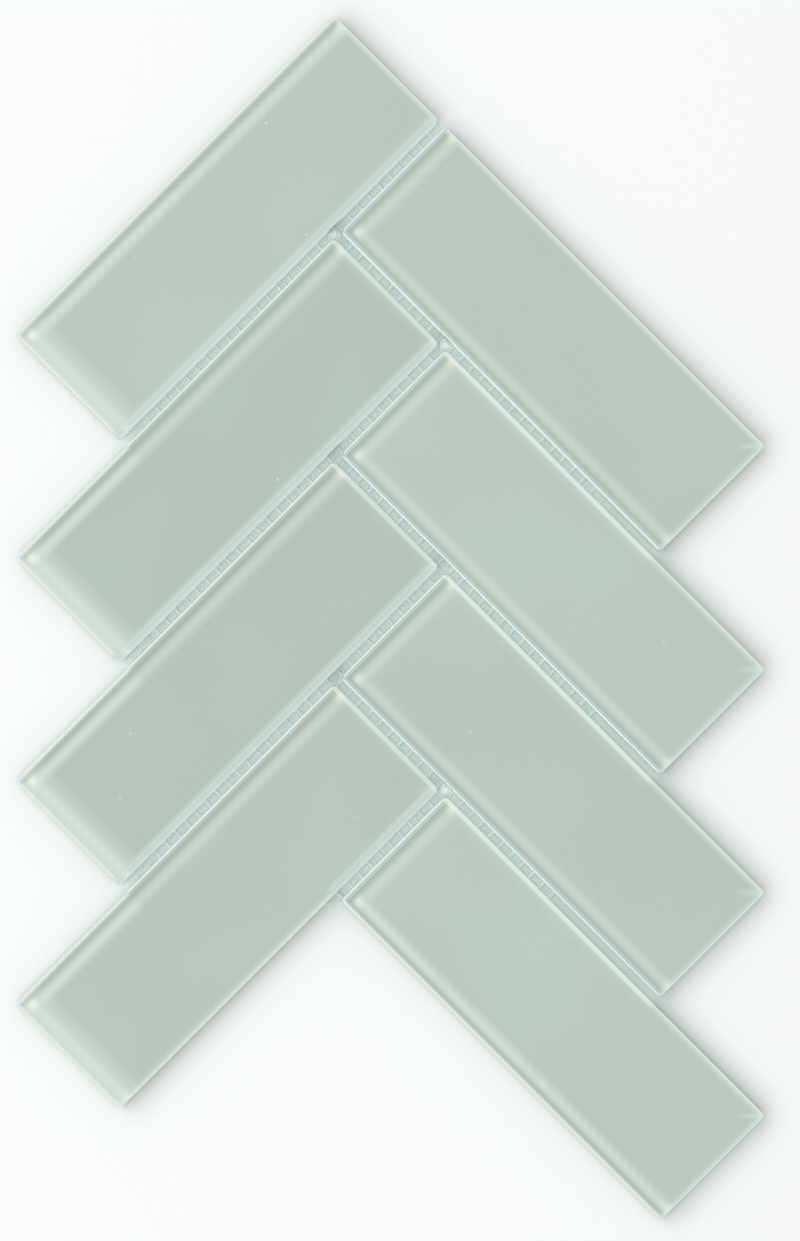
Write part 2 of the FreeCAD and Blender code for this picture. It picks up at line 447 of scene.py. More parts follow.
def paint_left_rims(paint, base, edges, is_open, look):
    """The outermost glass of the two left edges: a painted highlight and a cool painted reflection along
    a joint, pale painted light in the open. The cool band narrows like a blade towards its far end."""
    for toward, beside in (("nw", "ne"), ("sw", "se")):
        edge, in_joint = edges[toward], 1 - is_open[toward]
        # Painted reflection of the neighbour, along a joint only
        cool = in_joint * look["cool_reflection_rims"][toward]
        blade = edge + paint.fade(edges[beside], *BLADE_FADE) * BLADE_NARROWING
        base = paint.blend(paint.fade(blade, *COOL_REFLECTION_BAND_FADE) * cool, base, COOL_REFLECTION_BAND)
        base = paint.blend(paint.fade(edge, *COOL_REFLECTION_RIM_FADE) * cool, base, COOL_REFLECTION_RIM)
        # Painted highlight along a joint, then pale painted light in the open
        base = paint.blend(paint.fade(edge, *HIGHLIGHT_LINE_FADE) * in_joint, base, HIGHLIGHT_LINE)
        base = paint.blend(paint.fade(edge, *OPEN_RIM_LIGHT_FADE) * is_open[toward], base, OPEN_RIM_LIGHT)
    return base


print("Warm glow at its strongest, mm in:", {toward: band[1] for toward, band in GLOW_BANDS.items()})

# %% [markdown]
# The light goes out again at the two right edges, and turns them milky: painted light. A fine darker
# line of painted shade runs in the band, where the front edge starts to curve, and along the left
# column's lower right edges two fine painted glints lie further in.

# %% Milk along the two right edges
# Painted light: milky bands where the light leaves the glass, a fine line of painted shade, and painted
# glints
MILKY_LIGHT = colour(222, 236, 227)
MILKY_LIGHT_EDGE = colour(248, 255, 251)
COOL_MILKY_LIGHT = colour(195, 211, 205)

MILKY_LIGHT_TAIL_FADE = (1.2, 4.5)
MILKY_LIGHT_TAIL_SHARE = 0.18
MILKY_LIGHT_RIM_SHARE = 0.82
FINE_SHADE_LINE = (0.45, 0.7, 0.95)
FINE_SHADE_LINE_SHARE = 0.2
GLINTS = ((0.8, 1.0, 1.2), (2.0, 2.2, 2.4))
OPEN_MILKY_LIGHT_FADE = (-0.6, 2.8)
OPEN_MILKY_LIGHT_STRENGTH = 0.75
MILKY_LIGHT_EDGE_FADE = (0.3, 0.9)
MILKY_LIGHT_EDGE_SHARE = 0.6


def paint_right_rims(paint, base, edges, is_open, look):
    """The painted milky light of the two right edges, and its softer fade where they are open."""
    for toward, (milky_light, strength, rim_start, rim_end, glint_strength) in look["milky_light_rims"].items():
        edge, in_joint = edges[toward], 1 - is_open[toward]
        rim = paint.fade(edge, rim_start, rim_end) * MILKY_LIGHT_RIM_SHARE
        tail = paint.fade(edge, *MILKY_LIGHT_TAIL_FADE) * MILKY_LIGHT_TAIL_SHARE
        # A fine line of painted shade in the milky band
        line = paint.swell(edge, *FINE_SHADE_LINE) * FINE_SHADE_LINE_SHARE
        base = paint.blend((tail + rim - line) * in_joint * strength, base, milky_light)
        # Fine painted glints
        glints = paint.swell(edge, *GLINTS[0]) + paint.swell(edge, *GLINTS[1])
        base = paint.blend(glints * in_joint * glint_strength, base, MILKY_LIGHT)
        open_milky_light = paint.fade(edge, *OPEN_MILKY_LIGHT_FADE) * is_open[toward]
        base = paint.blend(open_milky_light * OPEN_MILKY_LIGHT_STRENGTH, base, MILKY_LIGHT)
        base = paint.blend(paint.fade(edge, *MILKY_LIGHT_EDGE_FADE) * strength * MILKY_LIGHT_EDGE_SHARE, base, MILKY_LIGHT_EDGE)
    return base


print("Milky bands are gone, mm in:", MILKY_LIGHT_TAIL_FADE[1])

# %% [markdown]
# Where an edge ends, the light has more than one way in or out. The warm bands flare at their far
# ends, and a pale glint fans in from the east corner, between the two milky edges.

# %% Light in the corners
FLARE_BAND = (1.8, 4.4, 6.5)
FLARE_REACH = (0.5, 4.0)
FLARE_NORTH = 0.75
FLARE_SOUTH = 0.5
GLINT_REACH = (5.0, 16.0)
GLINT_WIDTH = (0.3, 2.4)


def paint_corners(paint, base, edges, look):
    """Flares at the north and south ends of the warm bands, and the glint in the east corner."""
    north = paint.swell(edges["nw"], *FLARE_BAND) * (1 - paint.ramp(edges["ne"], *FLARE_REACH))
    south = paint.swell(edges["sw"], *FLARE_BAND) * (1 - paint.ramp(edges["se"], *FLARE_REACH))
    base = paint.blend(north * FLARE_NORTH + south * FLARE_SOUTH, base, GLOW_SPOT)
    off_middle = (edges["ne"] - edges["se"]).unsigned()
    glint = paint.fade(edges["ne"] + edges["se"], *GLINT_REACH) * paint.fade(off_middle, *GLINT_WIDTH)
    return paint.blend(glint * look["glint_east"], base, MILKY_LIGHT)


print("The glint reaches", round(GLINT_REACH[1] / math.sqrt(2), 1), "mm in from the corner")

# %% [markdown]
# The two columns lie crosswise, so an edge that is a long side in one is an end in the other, and
# each column has its own strengths of painted light and shade. The left one's lower left ends have a
# painted haze of light, and its lower right edges cool, broad painted light. The right one has the
# deeper painted shade, the stronger cool painted reflection along its upper left ends and the clearer
# painted glint in its corner.
#
# A milky rim of painted light has a colour, a strength, where it starts to fall and where it is gone,
# in millimetres in from the edge, and the strength of its fine painted glints.

# %% One look for each column
LOOKS = {
    "left": {
        "light_haze_sw": 0.8,
        "shade_sw": 0.0,
        "spot_west": 0.9,
        "glint_east": 0.08,
        "cool_reflection_rims": {"nw": 0.35, "sw": 1.0},
        "milky_light_rims": {"se": (COOL_MILKY_LIGHT, 0.85, 2.2, 4.4, 0.55), "ne": (MILKY_LIGHT, 0.66, 1.2, 2.0, 0.0)},
    },
    "right": {
        "light_haze_sw": 0.0,
        "shade_sw": 0.5,
        "spot_west": 0.6,
        "glint_east": 0.35,
        "cool_reflection_rims": {"nw": 1.0, "sw": 1.0},
        "milky_light_rims": {"se": (MILKY_LIGHT, 0.5, 1.1, 2.9, 0.0), "ne": (MILKY_LIGHT, 0.88, 1.2, 1.9, 0.0)},
    },
}
print("Looks:", list(LOOKS))

# %% [markdown]
# From the side the glass is greener, since more of it is looked through, and paler towards the top,
# with painted streaks of light that the glass bends. The fired coat shows as a darker line at its foot.
# A side that faces a joint is painted bright: the light that leaves one tile there falls on the next,
# and back. The real sides pass it on, and an opaque body can't, so those sides give off a faint light
# of their own. The back of the coat is matt.

# %% The sides and the back
GLASS_IOR = 1.52
GLASS_ROUGHNESS = 0.04
SIDE_HIGH = colour(199, 217, 208)
SIDE_LOW = colour(174, 194, 182)
SIDE_SPAN = (1.0, 7.0)
SIDE_TOP = (7.2, 7.7)
# Painted streaks of light that the glass bends
LIGHT_STREAK_PALE = colour(216, 231, 223)
LIGHT_STREAK_SCALE = 45.0
LIGHT_STREAK_SPAN = (0.45, 0.7)
LIGHT_STREAK_STRENGTH = 0.5
COAT_LINE = colour(140, 157, 144)
COAT_LINE_FADE = (0.95, 1.3)
# A side in a joint is painted pale for the light passed between tiles
JOINT_SIDE = colour(243, 251, 249)
JOINT_FOOT = colour(205, 219, 211)
JOINT_FOOT_SPAN = (0.9, 2.2)
JOINT_LIGHT = (0.1, 0.12, 0.118, 1.0)
COAT_ROUGHNESS = 0.65
COAT_SPECULAR = 0.25
COAT_SCALE = 60.0
COAT_SPAN = (0.4, 0.6)
COAT_SAGE_SHARE = 0.6
COAT_WHITE_SHARE = 0.3


def paint_sides(paint, base, place):
    """The sides of a tile, up to its rounded front edge, under the paint of its front."""
    height = paint.height(place)
    side = paint.blend(paint.smooth(height, *SIDE_SPAN), SIDE_LOW, SIDE_HIGH)
    light_streaks = paint.smooth(paint.cloud(place, LIGHT_STREAK_SCALE), *LIGHT_STREAK_SPAN)
    # Painted streaks of light
    side = paint.blend(light_streaks * LIGHT_STREAK_STRENGTH, side, LIGHT_STREAK_PALE)
    side = paint.blend(paint.fade(height, *COAT_LINE_FADE), side, COAT_LINE)
    return paint.blend(paint.smooth(height, *SIDE_TOP), side, base)


def make_joint_glass(name):
    """A side that faces a joint: painted pale, darker at its foot, and faintly lit by a light of its own.
    """
    light = {"Emission_Color": JOINT_LIGHT, "Emission_Strength": 1.0}
    paint = Paint(name, IOR=GLASS_IOR, Roughness=GLASS_ROUGHNESS, **light)
    height = paint.height(paint.place())
    paint.set("Base Color", paint.blend(paint.smooth(height, *JOINT_FOOT_SPAN), JOINT_FOOT, JOINT_SIDE))
    return paint.material


def make_back_coat(name, node):
    """The back of the enamel: matt, and a little paler than the front."""
    paint = Paint(name, Roughness=COAT_ROUGHNESS, Specular_IOR_Level=COAT_SPECULAR)
    patch = paint.ramp(paint.cloud(paint.place(), COAT_SCALE), *COAT_SPAN)
    sage = SAGE[node]
    paler = (*[COAT_SAGE_SHARE * part + COAT_WHITE_SHARE for part in sage[:3]], 1.0)
    paint.set("Base Color", paint.blend(patch, paler, sage))
    return paint.material


joint_glass = make_joint_glass("glass_joint_side")
print("Made:", joint_glass.name)

# %% [markdown]
# All of it together makes one tile's finish. Polished pressed glass is never quite flat, so a slow
# bump lets the reflections swim a little.

# %% The whole finish of a tile
WAVE_SCALE = 28.0
WAVE_HEIGHT = 0.3 * MM
WAVE_STRENGTH = 0.2


def make_sage_glass(name, node, look):
    """One tile's finish: sage in the middle, the bands of light along its edges, and its sides."""
    paint = Paint(name, IOR=GLASS_IOR, Roughness=GLASS_ROUGHNESS)
    place = paint.place()
    edges = edge_distances(paint, place, node)
    is_open = {toward: open_side(paint, place, node, toward) for toward in SIDES}
    base = paint_sage(paint, place, SAGE[node])
    base = paint_glow(paint, base, edges, is_open, look)
    base = paint_left_rims(paint, base, edges, is_open, look)
    base = paint_right_rims(paint, base, edges, is_open, look)
    base = paint_corners(paint, base, edges, look)
    base = paint_sides(paint, base, place)
    paint.set("Base Color", base)
    paint.bump(paint.cloud(place, WAVE_SCALE, detail=1.0), WAVE_HEIGHT, WAVE_STRENGTH)
    return paint.material


finishes = {}
for node in TILES:
    look = LOOKS["left" if "_left_" in node else "right"]
    finishes[node] = [
        make_sage_glass(node + "_glass", node, look),
        make_back_coat(node + "_coat", node),
        joint_glass,
    ]
print("Finishes:", [finish[0].name for finish in finishes.values()])

# %% [markdown]
# A tile is drawn as stacked outlines, from the back up: each ring is the rounded rectangle moved
# inward by some amount, at some height. The front edge is a quarter circle in section. Rings just
# before and after each curve keep the flat faces' shading flat.

# %% A tile's outline and section
CORNER_RADIUS = 1.3 * MM
FRONT_RADIUS = 0.8 * MM
BACK_BEVEL = 0.5 * MM
SIDE_STEP = 3.0 * MM
CORNER_STEPS = 7
FRONT_STEPS = 10


def rounded_outline(length, width, radius):
    """A rounded rectangle round the origin, anticlockwise: each point, its outward direction and
    the cell corner of a plain grid that it belongs to."""
    cells_long = round((length - 2 * radius) / SIDE_STEP)
    cells_wide = round((width - 2 * radius) / SIDE_STEP)
    half_long, half_wide = length / 2 - radius, width / 2 - radius
    turns = [(1, -1, 0, 1), (1, 1, -1, 0), (-1, 1, 0, -1), (-1, -1, 1, 0)]
    outline = []
    for quarter, (right, up, step_right, step_up) in enumerate(turns):
        column = cells_long if right > 0 else 0
        line = cells_wide if up > 0 else 0
        corner = Vector((right * half_long, up * half_wide))
        for step in range(CORNER_STEPS + 1):
            angle = (quarter - 1 + step / CORNER_STEPS) * math.pi / 2
            direction = Vector((math.cos(angle), math.sin(angle)))
            outline.append((corner + direction * radius, direction, (column, line)))
        steps = cells_wide if step_up else cells_long
        run = Vector((step_right * 2 * half_long, step_up * 2 * half_wide))
        for step in range(1, steps):
            point = corner + direction * radius + run * (step / steps)
            outline.append((point, direction, (column + step * step_right, line + step * step_up)))
    return outline, cells_long, cells_wide


def tile_rings(height):
    """How far in and how high each ring of a tile is, from the back up."""
    side_top = height - FRONT_RADIUS
    rings = [(BACK_BEVEL, 0), (0, BACK_BEVEL), (0, BACK_BEVEL * 1.5)]
    rings += [(0, height / 2), (0, side_top - BACK_BEVEL / 2)]
    for step in range(FRONT_STEPS + 1):
        angle = step / FRONT_STEPS * math.pi / 2
        rings.append((FRONT_RADIUS * (1 - math.cos(angle)), side_top + FRONT_RADIUS * math.sin(angle)))
    return rings


print("Rings in a tile 8 mm thick:", len(tile_rings(8 * MM)))

# %% [markdown]
# The front and the back could each be one large face, but a face with many corners shades badly. So
# each is closed by a plain grid of cells that stops a little way in, and by a row of cells between
# the grid's border and the ring, which fan out round the rounded corners.

# %% A grid to close a ring
GRID_INSET = CORNER_RADIUS * 1.6


def close_with_grid(mesh, ring, outline, cells, place, upward):
    """Close a ring with a plain grid of four-sided cells, fanned round its rounded corners."""
    faces = []

    def add(corners):
        face = mesh.faces.new(corners if upward else corners[::-1])
        face.smooth = True
        faces.append(face)

    cells_long, cells_wide = cells
    grid = {}
    for column in range(cells_long + 1):
        for line in range(cells_wide + 1):
            grid[column, line] = mesh.verts.new(place(column, line))
    for column in range(cells_long):
        for line in range(cells_wide):
            near = [grid[column, line], grid[column + 1, line]]
            add(near + [grid[column + 1, line + 1], grid[column, line + 1]])
    count = len(ring)
    for each in range(count):
        following = (each + 1) % count
        here, there = grid[outline[each][2]], grid[outline[following][2]]
        rim = [ring[each], ring[following]]
        add(rim + ([here] if here is there else [there, here]))
    return faces


print("The grid starts", round(GRID_INSET / MM, 2), "mm in from the edge")

# %% [markdown]
# The rings are joined into a body. Fire-polished edges are never ruler-straight, so every point of
# the outline is moved inward by a slow noise, at most WOBBLE. Each face carries the number of its
# finish: 0 for the glass, and the two that are named here. LIFT keeps the back clear of the net.

# %% A tile's body
BACK_FINISH = 1
JOINT_FINISH = 2
WOBBLE = 0.06 * MM
WOBBLE_SCALE = 90
LIFT = 0.02 * MM
SIDE_RINGS = 5


def build_tile(node, along, across):
    """A glass body in the place of its CAD node, with its back and its joint sides marked."""
    long_low, long_high = extent(node, along)
    wide_low, wide_high = extent(node, across)
    base, top = extent(node, UP)
    base += LIFT
    length, width = long_high - long_low, wide_high - wide_low
    middle = along * ((long_low + long_high) / 2) + across * ((wide_low + wide_high) / 2)
    side = UP.cross(along)
    outline, cells_long, cells_wide = rounded_outline(length, width, CORNER_RADIUS)
    count = len(outline)
    mesh = bmesh.new()

    def on_sheet(x, y):
        return middle + along * x + side * y

    def ring_at(inset, height):
        ring = []
        for point, out, cell in outline:
            slow = noise.noise(on_sheet(*point) * WOBBLE_SCALE) * 0.5 + 0.5
            moved = point - out * (inset + slow * WOBBLE)
            ring.append(mesh.verts.new(on_sheet(*moved) + UP * height))
        return ring

    rings = [ring_at(inset, base + height) for inset, height in tile_rings(top - base)]
    faced = [over_a_neighbour(node, on_sheet(*(point + out * JOINT_REACH))) for point, out, cell in outline]
    for level, (lower, upper) in enumerate(zip(rings, rings[1:])):
        for each in range(count):
            following = (each + 1) % count
            face = mesh.faces.new([lower[each], lower[following], upper[following], upper[each]])
            face.smooth = True
            if level < SIDE_RINGS and faced[each] and faced[following]:
                face.material_index = JOINT_FINISH

    for height, ring, upward in ((base, rings[0], False), (top, rings[-1], True)):

        def place(column, line):
            x = (column / cells_long - 0.5) * (length - 2 * GRID_INSET)
            y = (line / cells_wide - 0.5) * (width - 2 * GRID_INSET)
            return on_sheet(x, y) + UP * height

        faces = close_with_grid(mesh, ring, outline, (cells_long, cells_wide), place, upward)
        if not upward:
            for face in faces:
                face.material_index = BACK_FINISH
    for ring in rings[:2]:
        for each in range(count):
            mesh.edges.get([ring[each], ring[(each + 1) % count]]).smooth = False
    data = bpy.data.meshes.new(node + "_glass")
    mesh.to_mesh(data)
    mesh.free()
    return data


bodies = {node: build_tile(node, along, across) for node, (along, across) in TILES.items()}
print("Faces in each tile:", sorted({len(body.polygons) for body in bodies.values()}))

# %% [markdown]
# A finished mesh becomes a piece of the object: it gets its materials, rides on the sheet's one body,
# and stands for the CAD node that it hides.

# %% Eight tiles in place
def add_piece(name, data, materials, node):
    """Put a finished mesh in the scene, and tie it to the frame."""
    piece = bpy.data.objects.new(name, data)
    bpy.context.scene.collection.objects.link(piece)
    for material in materials:
        data.materials.append(material)
    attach(piece, "root")
    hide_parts(node)


for node, body in bodies.items():
    add_piece(node + "_body", body, finishes[node], node)
print("Tiles:", len(bodies))

# %% [markdown]
# The net carries on under every tile, and shows in the joints as pale yarns with the light floor
# between them. A flat card with a picture of a net would do from straight above, but not from the
# side, so its yarns are meshes. Where each one lies is read from the CAD node: its points are sorted
# by how far across they lie, and a jump in that distance starts the next yarn.

# %% The net's lanes, read from the frame
YARN_GAP = 1.0 * MM


def lanes(node, along, across):
    """Each yarn of a net layer: its middle line, and where it starts and ends."""
    points = corners_of(node)
    sideways = points @ np.array(across)
    forward = points @ np.array(along)
    order = np.argsort(sideways)
    breaks = np.nonzero(np.diff(sideways[order]) > YARN_GAP)[0] + 1
    found = []
    for group in np.split(order, breaks):
        middle = (sideways[group].min() + sideways[group].max()) / 2
        half = (sideways[group].max() - sideways[group].min()) / 2
        found.append((middle, forward[group].min() + half, forward[group].max() - half))
    return found


weft_lanes = lanes("mesh_weft_yarns", DOWN_RIGHT, DOWN_LEFT)
warp_lanes = lanes("mesh_warp_yarns", DOWN_LEFT, DOWN_RIGHT)
pitch = np.diff([lane[0] for lane in weft_lanes]).mean()
net_base, net_middle = extent("mesh_weft_yarns", UP)
print("Net:", len(weft_lanes), "by", len(warp_lanes), "yarns,", round(pitch / MM, 2), "mm apart")

# %% [markdown]
# Such a net is a leno weave: each warp yarn is a pair of strands that twist half a turn between one
# weft yarn and the next, and so lock the weft between them. A strand is a tube of flattened section
# swept along a line, and its twist is a sine and a cosine of the distance along the yarn.

# %% One strand
STEPS_PER_CELL = 4
STRAND_SIDES = 6


def strand(lane, along, across, first_crossing, half_wide, half_high, sway=0, lift=0, phase=0):
    """Vertices and faces of one strand: rings of points along a lane, swaying and rising in turn.
    A strand that does neither is straight, and needs only its two end rings."""
    middle, start, end = lane
    count = max(2, round((end - start) / pitch * STEPS_PER_CELL)) if sway else 1
    forward = np.linspace(start, end, count + 1)
    turn = (forward - first_crossing) / pitch * math.pi + phase
    centre_side = middle + sway * np.sin(turn)
    centre_up = net_middle + lift * np.cos(turn)
    around = np.arange(STRAND_SIDES) / STRAND_SIDES * 2 * math.pi
    ring_side = centre_side[:, None] + half_wide * np.cos(around)[None, :]
    ring_up = centre_up[:, None] + half_high * np.sin(around)[None, :]
    ring_forward = np.repeat(forward[:, None], STRAND_SIDES, axis=1)
    points = (ring_forward[..., None] * np.array(along) + ring_side[..., None] * np.array(across)
              + ring_up[..., None] * np.array(UP))
    faces = []
    for ring in range(count):
        for each in range(STRAND_SIDES):
            following = (each + 1) % STRAND_SIDES
            low, high = ring * STRAND_SIDES, (ring + 1) * STRAND_SIDES
            faces.append((low + each, low + following, high + following, high + each))
    last = count * STRAND_SIDES
    faces.append(tuple(range(STRAND_SIDES)))
    faces.append(tuple(last + each for each in reversed(range(STRAND_SIDES))))
    return points.reshape(-1, 3), faces


print("A crossing every", STEPS_PER_CELL, "steps along a twisted strand")

# %% [markdown]
# A weft yarn is one flat strand. A warp yarn is two that sway and rise in turn, half a turn apart,
# with a flat ribbon between them: the resin that binds them.

# %% Weft and warp
WEFT_HALF_WIDTH = 0.5 * MM
WEFT_HALF_HEIGHT = 0.09 * MM
RESIN_HALF_WIDTH = 0.6 * MM
RESIN_HALF_HEIGHT = 0.15 * MM
WARP_HALF_WIDTH = 0.26 * MM
WARP_HALF_HEIGHT = 0.1 * MM
WARP_SWAY = 0.14 * MM
WARP_LIFT = 0.19 * MM

weft_strands = [
    strand(lane, DOWN_RIGHT, DOWN_LEFT, warp_lanes[0][0], WEFT_HALF_WIDTH, WEFT_HALF_HEIGHT)
    for lane in weft_lanes
]
warp_strands = [
    strand(lane, DOWN_LEFT, DOWN_RIGHT, weft_lanes[0][0], WARP_HALF_WIDTH, WARP_HALF_HEIGHT,
           WARP_SWAY, WARP_LIFT, phase)
    for lane in warp_lanes for phase in (0, math.pi)
]
warp_strands += [
    strand(lane, DOWN_LEFT, DOWN_RIGHT, weft_lanes[0][0], RESIN_HALF_WIDTH, RESIN_HALF_HEIGHT)
    for lane in warp_lanes
]
print("Strands:", len(weft_strands), "along the weft and", len(warp_strands), "along the warp")

# %% [markdown]
# The resin that the net was dipped in gathers in the corners where yarns cross, and rounds every
# opening. Each crossing gets a thin four-cornered web whose sides are hollow quarter circles.

# %% Resin webs at the crossings
WEB_RADIUS = 1.75 * MM
WEB_STEPS = 5
WEB_THICKNESS = 0.22 * MM
WEB_LIFT = 0.01 * MM
WEB_OVERLAP = 0.9


def web_outline():
    """One web's outline round its crossing, as pairs of distances along the two yarn directions."""
    reach = WEFT_HALF_WIDTH * WEB_OVERLAP + WEB_RADIUS
    outline = []
    for quarter in range(4):
        turn = quarter * math.pi / 2
        for step in range(WEB_STEPS + 1):
            angle = math.pi * 1.5 - step / WEB_STEPS * math.pi / 2
            x, y = reach + WEB_RADIUS * math.cos(angle), reach + WEB_RADIUS * math.sin(angle)
            turned = x * math.cos(turn) - y * math.sin(turn), x * math.sin(turn) + y * math.cos(turn)
            outline.append(turned)
    return outline


def resin_webs():
    """Vertices and faces of every web, one for each crossing of a weft and a warp yarn."""
    outline = np.array(web_outline())
    count = len(outline)
    around = range(count)
    faces = [tuple(range(count, 2 * count)), tuple(reversed(range(count)))]
    faces += [(each, (each + 1) % count, count + (each + 1) % count, count + each) for each in around]
    webs = []
    for weft_middle, weft_start, weft_end in weft_lanes:
        for warp_middle, warp_start, warp_end in warp_lanes:
            if weft_start < warp_middle < weft_end and warp_start < weft_middle < warp_end:
                flat = ((warp_middle + outline[:, :1]) * np.array(DOWN_RIGHT)
                        + (weft_middle + outline[:, 1:]) * np.array(DOWN_LEFT))
                low = flat + np.array(UP) * (net_base + WEB_LIFT)
                webs.append((np.concatenate([low, low + np.array(UP) * WEB_THICKNESS]), faces))
    return webs


webs = resin_webs()
print("Crossings:", len(webs))

# %% [markdown]
# Nearly two thousand separate objects would be slow, so each layer of the net becomes one mesh.
# Smooth shading would smear light round the sharp edges of flat strands and webs, and draw dark
# lines there, so every edge that turns by more than SHARP_FROM degrees is marked sharp.

# %% Two meshes of net
SHARP_FROM = 40


def join_strands(name, strands):
    """One mesh of many strands or webs."""
    points, faces, offset = [], [], 0
    for more_points, more_faces in strands:
        points.append(more_points)
        faces += [tuple(index + offset for index in face) for face in more_faces]
        offset += len(more_points)
    data = bpy.data.meshes.new(name)
    data.from_pydata(np.concatenate(points).tolist(), [], faces)
    data.polygons.foreach_set("use_smooth", [True] * len(faces))
    mesh = bmesh.new()
    mesh.from_mesh(data)
    bmesh.ops.recalc_face_normals(mesh, faces=mesh.faces)
    mesh.to_mesh(data)
    mesh.free()
    data.set_sharp_from_angle(angle=math.radians(SHARP_FROM))
    print(name, len(faces), "faces")
    return data


weft = join_strands("net_weft", weft_strands + webs)
warp = join_strands("net_warp", warp_strands)

# %% [markdown]
# The dipped yarn is pale and a little cool, with a soft shine. The rim of every opening is drawn a
# little darker on the side away from the light: the distance to a rounded square, measured in the
# net's own two directions, gives that rim at every crossing and along every yarn at once. A faint
# light of its own stands for what the glass beside it lets through.

# %% The yarn's finish
YARN_PALE = colour(242, 248, 247)
YARN_COOLER = colour(232, 243, 241)
YARN_SCALE = 900.0
YARN_ROUGHNESS = 0.4
YARN_LIGHT = (0.022, 0.027, 0.028, 1.0)
RIM_DARK = colour(158, 170, 170)
RIM_BAND = (-0.12, 0.06, 0.34)
RIM_STRENGTH = 0.12
AWAY_SPAN = (-0.6, 1.4)


def make_yarn_paint():
    """The finish of both layers. The offsets run from the middle of an opening, in millimetres."""
    light = {"Emission_Color": YARN_LIGHT, "Emission_Strength": 1.0}
    paint = Paint("glass_fibre_yarn", Roughness=YARN_ROUGHNESS, **light)
    place = paint.place()
    offsets = []
    for direction, lane in ((DOWN_RIGHT, warp_lanes[0]), (DOWN_LEFT, weft_lanes[0])):
        reach = (paint.along(place, direction) - lane[0]) * (1 / MM)
        cell = reach.maths("FLOORED_MODULO", reach, pitch / MM)
        offsets.append(cell - pitch / MM / 2)
    straight = (pitch / 2 - WEFT_HALF_WIDTH - WEB_RADIUS) / MM
    beyond = [offset.unsigned().most(straight) - straight for offset in offsets]
    squares = beyond[0] * beyond[0] + beyond[1] * beyond[1]
    from_corner = squares.maths("SQRT", squares, 0.0)
    rim = paint.swell(from_corner - WEB_RADIUS / MM, *RIM_BAND)
    away = paint.smooth(offsets[0] * -1 + offsets[1], *AWAY_SPAN)
    pale = paint.blend(paint.cloud(place, YARN_SCALE), YARN_PALE, YARN_COOLER)
    paint.set("Base Color", paint.blend(rim * away * RIM_STRENGTH, pale, RIM_DARK))
    return paint.material


yarn_paint = make_yarn_paint()
add_piece("net_weft", weft, [yarn_paint], "mesh_weft_yarns")
add_piece("net_warp", warp, [yarn_paint], "mesh_warp_yarns")
print("Net pieces share:", yarn_paint.name)

# %% [markdown]
# Adhesive has squeezed up between the tiles in three places, where two joints meet. Each dab is a
# low mound that runs out level onto the net, so that no dark gap shows round it. It could be a
# sphere pressed flat, but a stack of rings with a chosen slope gives the soft foot directly. The
# rings are squared a little towards the tiles, and a slow noise pushes them in and out.

# %% Mounds of adhesive
DAB_RINGS = 12
DAB_SIDES = 28
DAB_UNEVEN = 0.12
DAB_NOISE_SCALE = 1.4
DAB_NOISE_STEP = 7
DAB_SPREAD = 1.32
DAB_FOOT = 0.05
DAB_TOP = 0.75
DAB_SLOPE = 1.4
DAB_ROUNDNESS = 0.7


def squared(value):
    """A sine or cosine pushed outward, which turns a circle into a rounded square."""
    return math.copysign(abs(value) ** DAB_ROUNDNESS, value)


def climb(out):
    """The mound's height, as a share of the CAD dab's, at a share of the way out from its middle."""
    return DAB_FOOT + (DAB_TOP - DAB_FOOT) * (1 - out**2) ** DAB_SLOPE


def middle_of(node, axes):
    """The middle of a node, found along three directions, and half its reach along each."""
    reach = [extent(node, axis) for axis in axes]
    middle = Vector((0, 0, 0))
    for axis, (low, high) in zip(axes, reach):
        middle += axis * ((low + high) / 2)
    return middle, [(high - low) / 2 for low, high in reach]


def build_dab(node, seed):
    """A low mound: a flat foot, then rings that climb inward to one top point."""
    axes = (NORTH_EAST, NORTH_WEST, UP)
    middle, half = middle_of(node, axes)
    shift = Vector((seed * DAB_NOISE_STEP, 0, 0))
    mesh = bmesh.new()

    def put(out, height, side):
        turn = side / DAB_SIDES * 2 * math.pi
        across, along = out * squared(math.cos(turn)), out * squared(math.sin(turn))
        slow = noise.noise(Vector((across, along, height)) * DAB_NOISE_SCALE + shift)
        spread = DAB_SPREAD * (1 + DAB_UNEVEN * slow)
        point = middle + axes[0] * (half[0] * across * spread)
        point += axes[1] * (half[1] * along * spread)
        return mesh.verts.new(point + UP * (half[2] * (2 * height - 1)))

    outs = [1 - step / DAB_RINGS for step in range(DAB_RINGS)]
    rings = [[put(1, 0, side) for side in range(DAB_SIDES)]]
    rings += [[put(out, climb(out), side) for side in range(DAB_SIDES)] for out in outs]
    foot, top = put(0, 0, 0), put(0, DAB_TOP, 0)
    for lower, upper in zip(rings, rings[1:]):
        for side in range(DAB_SIDES):
            following = (side + 1) % DAB_SIDES
            mesh.faces.new([lower[side], lower[following], upper[following], upper[side]])
    for side in range(DAB_SIDES):
        following = (side + 1) % DAB_SIDES
        mesh.faces.new([foot, rings[0][following], rings[0][side]])
        mesh.faces.new([top, rings[-1][side], rings[-1][following]])
    for face in mesh.faces:
        face.smooth = True
    data = bpy.data.meshes.new(node + "_blob")
    mesh.to_mesh(data)
    mesh.free()
    return data


print("A dab's height, foot to top:", [round(climb(out), 2) for out in (1, 0.75, 0.5, 0.25, 0)])

# %% [markdown]
# Set adhesive is whitish, with a dull shine and a slightly pitted skin. Two of the dabs have a warm
# white painted highlight a little to the right of the middle. As on the yarns, a faint light of its
# own stands for what the glass beside it lets through.

